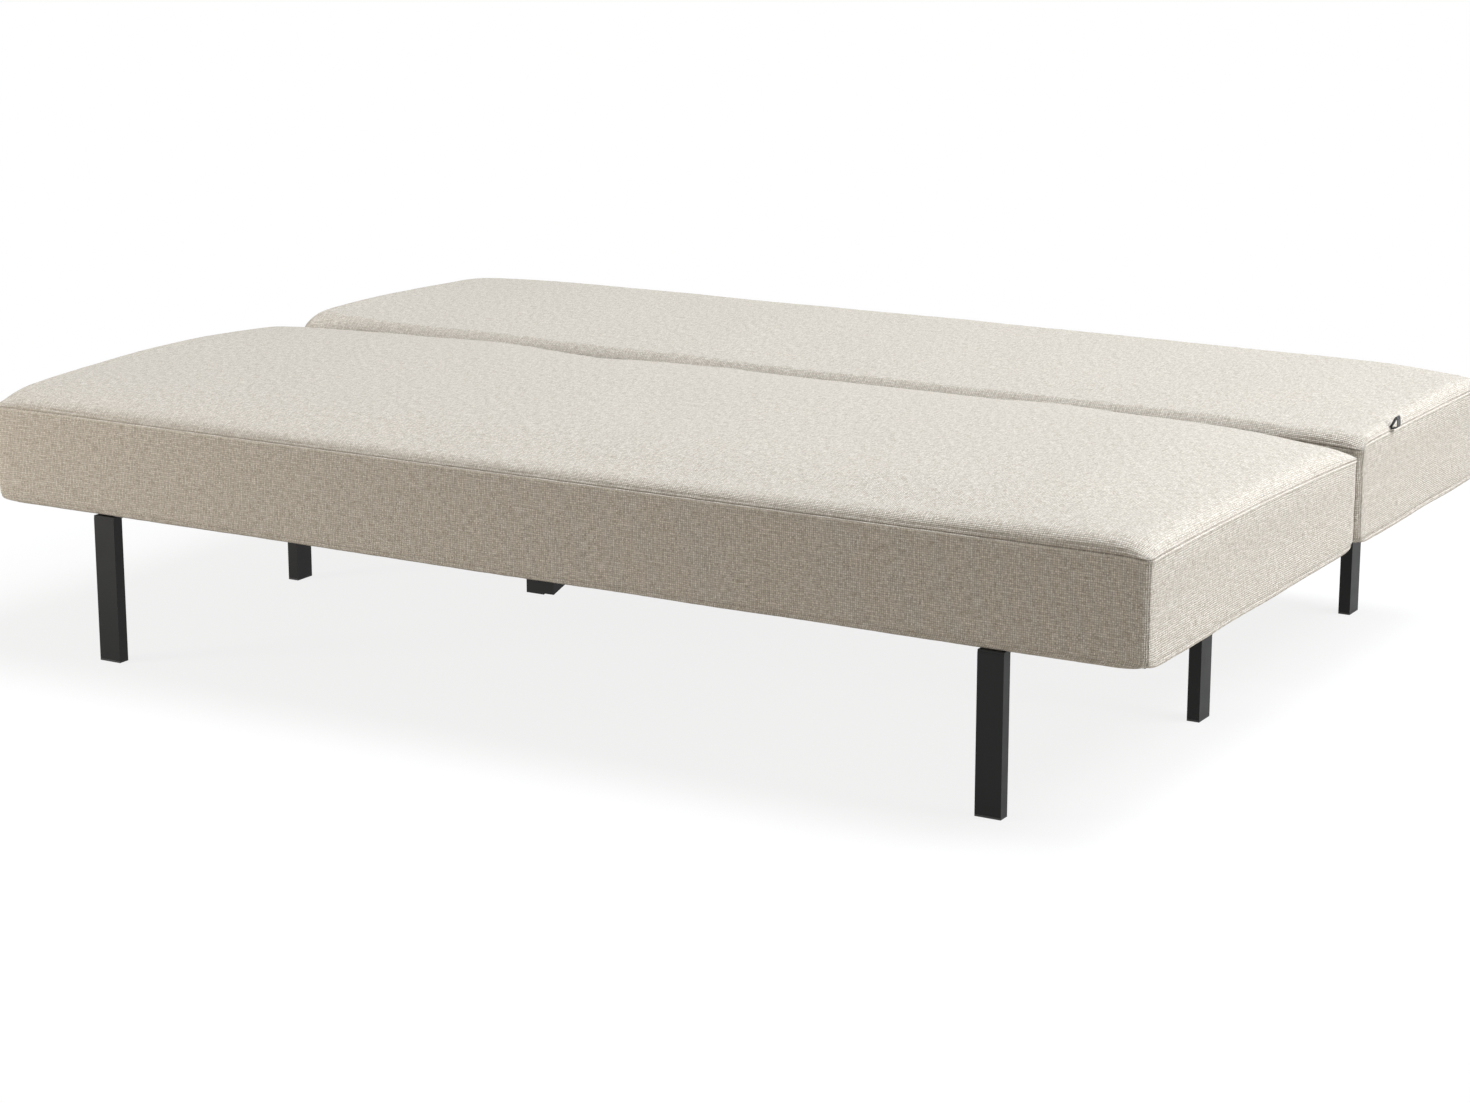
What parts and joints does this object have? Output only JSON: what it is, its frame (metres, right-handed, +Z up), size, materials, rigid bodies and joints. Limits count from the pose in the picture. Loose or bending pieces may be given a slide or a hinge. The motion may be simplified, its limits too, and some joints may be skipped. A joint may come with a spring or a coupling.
{
  "type": "click clack sofa bed",
  "caption": "Fabric sofa bed laid flat: seat and folding back on slatted steel frames, black tube legs, ratchet hinges and a pull-out rear support.",
  "frame": {"origin": "on the floor under the middle of the bed, rest pose flat as in the picture", "axes": "+X along the width to the right hand end, +Y to the rear (the back cushion side), +Z up"},
  "size_m": [2.0081, 1.4, 0.4255],
  "materials": {
    "woven_fabric": "coarse melange weave, light ecru",
    "foam": "cut upholstery foam",
    "beech": "satin lacquered beech",
    "black_steel": "satin black powder coat",
    "zinc_steel": "zinc plated",
    "black_plastic": "moulded, matt",
    "black_ribbon": "woven ribbon, bare"
  },
  "bodies": {
    "base": {"seat_cover": "woven_fabric", "seat_foam": "foam", "seat_frame_front": "black_steel", "seat_frame_rear": "black_steel", "seat_frame_left": "black_steel", "seat_frame_right": "black_steel", "seat_slat_1": "beech", "seat_slat_2": "beech", "seat_slat_3": "beech", "seat_slat_4": "beech", "seat_slat_5": "beech", "seat_slat_6": "beech", "seat_frame_centre": "black_steel", "seat_frame_inner_left": "black_steel", "seat_frame_inner_right": "black_steel", "centre_bracket": "black_steel", "leg_front_left": "black_steel", "leg_front_right": "black_steel", "foot_front_left": "black_plastic", "foot_front_right": "black_plastic", "leg_mid_left": "black_steel", "leg_mid_right": "black_steel", "foot_mid_left": "black_plastic", "foot_mid_right": "black_plastic", "side_rail_left": "black_steel", "side_rail_right": "black_steel", "slide_guide_left": "black_steel", "slide_guide_right": "black_steel", "hinge_plate_left": "zinc_steel", "hinge_plate_right": "zinc_steel", "hinge_pin_left": "zinc_steel", "hinge_pin_right": "zinc_steel", "pawl_pin_left": "zinc_steel", "pawl_pin_right": "zinc_steel"},
    "back": {"back_cover": "woven_fabric", "back_foam": "foam", "back_frame_front": "black_steel", "back_frame_rear": "black_steel", "back_frame_left": "black_steel", "back_frame_right": "black_steel", "back_slat_1": "beech", "back_slat_2": "beech", "back_slat_3": "beech", "back_slat_4": "beech", "back_slat_5": "beech", "back_slat_6": "beech", "sector_arm_left": "zinc_steel", "sector_arm_right": "zinc_steel", "ribbon_loop": "black_ribbon"},
    "rear_support": {"leg_rear_left": "black_steel", "leg_rear_right": "black_steel", "foot_rear_left": "black_plastic", "foot_rear_right": "black_plastic", "slide_rail_left": "black_steel", "slide_rail_right": "black_steel", "rear_cross_tube": "black_steel"},
    "pawl_left": {"pawl_left": "zinc_steel", "pawl_spring_left": "zinc_steel"},
    "pawl_right": {"pawl_right": "zinc_steel", "pawl_spring_right": "zinc_steel"}
  },
  "joints": [
    {"name": "back_hinge", "type": "hinge", "parent": "base", "child": "back", "pos_m": [0, 0.171, 0.351], "axis": [1, 0, 0], "range_deg": [0, 78]},
    {"name": "rear_support_slide", "type": "slide", "parent": "base", "child": "rear_support", "axis": [0, 1, 0], "range_m": [-0.33, 0]},
    {"name": "pawl_left_pivot", "type": "hinge", "parent": "base", "child": "pawl_left", "pos_m": [-0.86, 0.19618, 0.29042], "axis": [-1, 0, 0], "range_deg": [0, 9]},
    {"name": "pawl_right_pivot", "type": "hinge", "parent": "base", "child": "pawl_right", "pos_m": [0.86, 0.19618, 0.29042], "axis": [-1, 0, 0], "range_deg": [0, 9]}
  ],
  "couplings": [
    {"joint": "pawl_right_pivot", "follows": "pawl_left_pivot", "ratio": 1}
  ]
}
